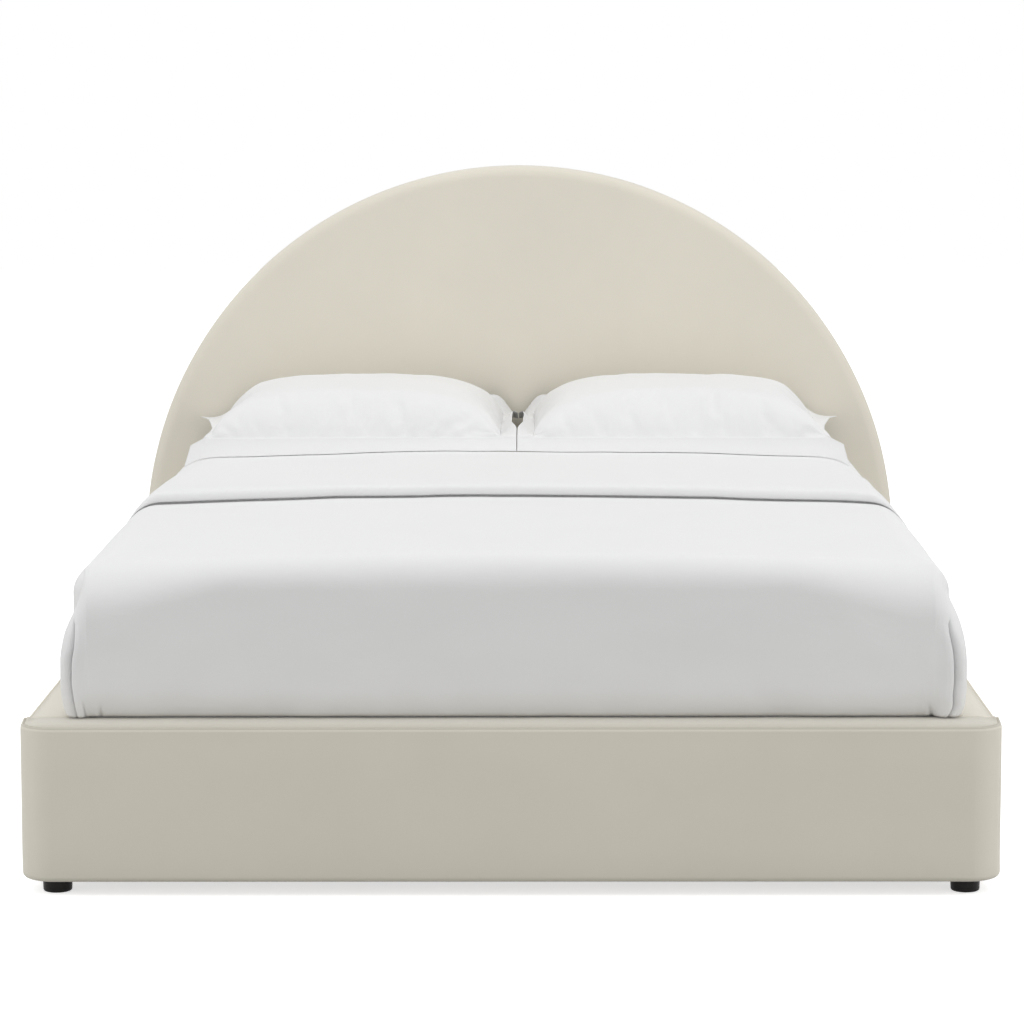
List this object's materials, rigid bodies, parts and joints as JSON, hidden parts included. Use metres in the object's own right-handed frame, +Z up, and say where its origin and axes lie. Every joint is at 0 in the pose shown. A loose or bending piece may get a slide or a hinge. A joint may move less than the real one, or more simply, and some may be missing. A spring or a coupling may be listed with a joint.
{
  "type": "platform bed",
  "caption": "Upholstered queen platform bed with a half-round headboard, padded ledge rails and a slatted deck, made up with mattress, duvet and pillows.",
  "frame": {"origin": "on the floor, under the middle of the bed's footprint", "axes": "+Z up, +Y from the foot of the bed to the headboard, +X to the right as seen from the foot"},
  "size_m": [1.72, 2.232, 1.208],
  "materials": {
    "velvet": "cream upholstery velvet, short dense pile",
    "cotton": "white woven cotton percale, washed and pressed",
    "ticking": "white knitted mattress cover",
    "foam": "pale yellow polyurethane foam",
    "fill": "polyester fibre fill in a white case",
    "plywood": "birch plywood, unfinished",
    "pine": "planed pine, unfinished",
    "dust_cloth": "black non-woven dust cloth",
    "webbing": "off-white woven polyester tape",
    "black_plastic": "black moulded polypropylene",
    "black_steel": "black powder-coated steel",
    "zinc_steel": "zinc-plated steel"
  },
  "bodies": {
    "bed_frame": {"bracket_bolts": "zinc_steel", "bracket_nuts": "zinc_steel", "centre_beam": "black_steel", "centre_leg_foot": "black_steel", "centre_leg_head": "black_steel", "centre_leg_middle": "black_steel", "centre_saddle_foot": "black_steel", "centre_saddle_head": "black_steel", "corner_brackets": "black_steel", "foot_front_left": "black_plastic", "foot_front_right": "black_plastic", "foot_rail_bottom_board": "plywood", "foot_rail_cover": "velvet", "foot_rail_foam": "foam", "foot_rail_inner_board": "plywood", "foot_rail_outer_board": "plywood", "foot_rail_top_board": "plywood", "foot_rear_left": "black_plastic", "foot_rear_right": "black_plastic", "foot_screws": "zinc_steel", "headboard_arch_rim": "plywood", "headboard_back_cloth": "dust_cloth", "headboard_base_board": "plywood", "headboard_cover": "velvet", "headboard_foam": "foam", "headboard_front_board": "plywood", "headboard_lower_rail": "pine", "headboard_sill": "pine", "headboard_stiles": "pine", "headboard_upper_rails": "pine", "leg_inserts": "black_plastic", "leg_plate_screws": "zinc_steel", "side_rail_left_bottom_board": "plywood", "side_rail_left_cover": "velvet", "side_rail_left_foam": "foam", "side_rail_left_inner_board": "plywood", "side_rail_left_ledger": "pine", "side_rail_left_outer_board": "plywood", "side_rail_left_top_board": "plywood", "side_rail_right_bottom_board": "plywood", "side_rail_right_cover": "velvet", "side_rail_right_foam": "foam", "side_rail_right_inner_board": "plywood", "side_rail_right_ledger": "pine", "side_rail_right_outer_board": "plywood", "side_rail_right_top_board": "plywood", "slat_straps": "webbing", "slats": "pine", "wood_screws": "zinc_steel"},
    "mattress": {"mattress_core": "foam", "mattress_ticking": "ticking", "fitted_sheet": "cotton"},
    "duvet": {"duvet": "cotton"},
    "pillow_left": {"pillow_insert_left": "fill", "pillow_sham_left": "cotton"},
    "pillow_right": {"pillow_insert_right": "fill", "pillow_sham_right": "cotton"},
    "leveller_foot": {"leveller_foot": "black_plastic"},
    "leveller_middle": {"leveller_middle": "black_plastic"},
    "leveller_head": {"leveller_head": "black_plastic"}
  },
  "joints": [
    {"name": "mattress_lift", "type": "slide", "parent": "bed_frame", "child": "mattress", "axis": [0, 0, 1], "range_m": [0, 0.5]},
    {"name": "duvet_lift", "type": "slide", "parent": "mattress", "child": "duvet", "axis": [0, 0, 1], "range_m": [0, 0.35]},
    {"name": "pillow_left_lift", "type": "slide", "parent": "duvet", "child": "pillow_left", "axis": [0, 0, 1], "range_m": [0, 0.3]},
    {"name": "pillow_right_lift", "type": "slide", "parent": "duvet", "child": "pillow_right", "axis": [0, 0, 1], "range_m": [0, 0.3]},
    {"name": "leveller_foot_screw", "type": "slide", "parent": "bed_frame", "child": "leveller_foot", "axis": [0, 0, -1], "range_m": [0, 0.012]},
    {"name": "leveller_middle_screw", "type": "slide", "parent": "bed_frame", "child": "leveller_middle", "axis": [0, 0, -1], "range_m": [0, 0.012]},
    {"name": "leveller_head_screw", "type": "slide", "parent": "bed_frame", "child": "leveller_head", "axis": [0, 0, -1], "range_m": [0, 0.012]}
  ]
}
